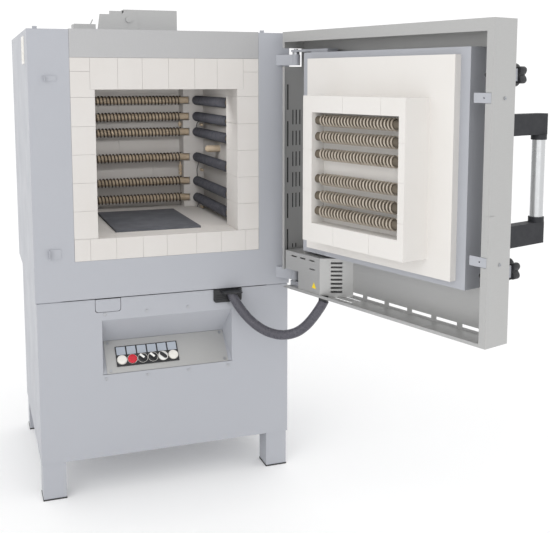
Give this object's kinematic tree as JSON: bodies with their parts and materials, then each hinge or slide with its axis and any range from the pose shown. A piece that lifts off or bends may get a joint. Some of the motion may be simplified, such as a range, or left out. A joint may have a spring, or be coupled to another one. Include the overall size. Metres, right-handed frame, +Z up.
{
  "type": "chamber kiln",
  "caption": "Floor-standing electric chamber kiln with a brick-lined chamber, heated swing door, control recess and top exhaust flap.",
  "frame": {"origin": "centre of the front left foot pad's sole, on the floor", "axes": "+X to the right seen from the front, +Y from the front face towards the back, +Z up"},
  "size_m": [1.1042, 1.49, 1.376],
  "materials": {
    "painted_steel": "fine satin powder coat, light blue-grey",
    "stainless_steel": "brushed stainless sheet",
    "fasteners": "bright zinc",
    "fire_brick": "matt, fine pores",
    "fibre_slab": "matt fibre",
    "heating_wire": "oxidised wire",
    "ceramic_tube": "matt sintered ceramic",
    "silicon_carbide": "matt slate grey",
    "black_plastic": "moulded, satin",
    "rubber_pad": "matt",
    "grey_plastic": "matt",
    "bezel_metal": "polished ring",
    "white_plastic": "glossy",
    "red_plastic": "glossy",
    "aluminium_tube": "anodised, satin",
    "conduit_plastic": "satin grey plastic over a wire helix"
  },
  "bodies": {
    "cabinet": {"foot_pads": "rubber_pad", "legs": "painted_steel", "base_casing": "painted_steel", "console_hood": "painted_steel", "console_cheeks": "painted_steel", "console_bed": "painted_steel", "console_plate": "stainless_steel", "control_frame": "black_plastic", "control_labels": "grey_plastic", "control_bezels": "bezel_metal", "console_screws": "fasteners", "switchgear": "grey_plastic", "mains_gland": "black_plastic", "upper_casing": "painted_steel", "lintel_plate": "stainless_steel", "backup_insulation": "fibre_slab", "collar_bricks": "fire_brick", "side_wall_bricks": "fire_brick", "back_wall_bricks": "fire_brick", "corner_columns": "fire_brick", "roof_bricks": "fire_brick", "floor_bricks": "fire_brick", "back_coil_tubes": "ceramic_tube", "back_heating_coils": "heating_wire", "side_coil_tubes": "ceramic_tube", "side_heating_coils": "heating_wire", "coil_links": "ceramic_tube", "thermocouple": "ceramic_tube", "floor_plate": "silicon_carbide", "door_catches": "painted_steel", "conduit_bushing": "black_plastic", "blanking_plate": "painted_steel", "side_grille": "grey_plastic", "hinge_blocks": "painted_steel", "hinge_pins": "fasteners", "exhaust_sleeve": "ceramic_tube", "exhaust_bracket": "stainless_steel", "conduit": "conduit_plastic"},
    "door": {"door_casing": "stainless_steel", "door_tray": "painted_steel", "door_insulation": "fire_brick", "door_plug_bricks": "fire_brick", "door_coil_tubes": "ceramic_tube", "door_heating_coils": "heating_wire", "door_hinge_arms": "painted_steel", "terminal_box": "stainless_steel", "conduit_gland": "black_plastic", "door_brackets": "painted_steel", "corner_cover": "stainless_steel", "door_screws": "fasteners", "knob_collars": "painted_steel", "handle_ends": "black_plastic", "handle_bar": "aluminium_tube"},
    "left_button": {"left_button": "white_plastic"},
    "red_button": {"red_button": "red_plastic"},
    "right_button": {"right_button": "white_plastic"},
    "left_selector": {"left_selector": "black_plastic"},
    "middle_selector": {"middle_selector": "black_plastic"},
    "right_selector": {"right_selector": "black_plastic"},
    "exhaust_flap": {"exhaust_flap": "stainless_steel"},
    "upper_knob": {"upper_knob": "black_plastic"},
    "lower_knob": {"lower_knob": "black_plastic"}
  },
  "joints": [
    {"name": "door_hinge", "type": "hinge", "parent": "cabinet", "child": "door", "pos_m": [0.6968, -0.0817, 0.9], "axis": [0, 0, 1], "range_deg": [-107.35, 20], "deforming": ["conduit"]},
    {"name": "upper_knob_turn", "type": "hinge", "parent": "door", "child": "upper_knob", "pos_m": [0.97657, -0.73238, 1.176], "axis": [0.9545, 0.2982, 0], "continuous": true},
    {"name": "lower_knob_turn", "type": "hinge", "parent": "door", "child": "lower_knob", "pos_m": [0.97657, -0.73238, 0.729], "axis": [0.9545, 0.2982, 0], "continuous": true},
    {"name": "left_button_press", "type": "slide", "parent": "cabinet", "child": "left_button", "axis": [0, 0.7501, -0.6613], "range_m": [0, 0.0035], "stiffness_N_per_m": 300, "springref_m": -0.002},
    {"name": "red_button_press", "type": "slide", "parent": "cabinet", "child": "red_button", "axis": [0, 0.7501, -0.6613], "range_m": [0, 0.0035], "stiffness_N_per_m": 300, "springref_m": -0.002},
    {"name": "right_button_press", "type": "slide", "parent": "cabinet", "child": "right_button", "axis": [0, 0.7501, -0.6613], "range_m": [0, 0.0035], "stiffness_N_per_m": 300, "springref_m": -0.002},
    {"name": "left_selector_turn", "type": "hinge", "parent": "cabinet", "child": "left_selector", "pos_m": [0.2561, -0.01439, 0.37597], "axis": [0, -0.7501, 0.6613], "range_deg": [-45, 45]},
    {"name": "middle_selector_turn", "type": "hinge", "parent": "cabinet", "child": "middle_selector", "pos_m": [0.2857, -0.01439, 0.37597], "axis": [0, -0.7501, 0.6613], "range_deg": [-45, 45]},
    {"name": "right_selector_turn", "type": "hinge", "parent": "cabinet", "child": "right_selector", "pos_m": [0.3153, -0.01439, 0.37597], "axis": [0, -0.7501, 0.6613], "range_deg": [-45, 45]},
    {"name": "flap_hinge", "type": "hinge", "parent": "cabinet", "child": "exhaust_flap", "pos_m": [0.2833, 0.3133, 1.346], "axis": [0, -1, 0], "range_deg": [0, 65]}
  ]
}
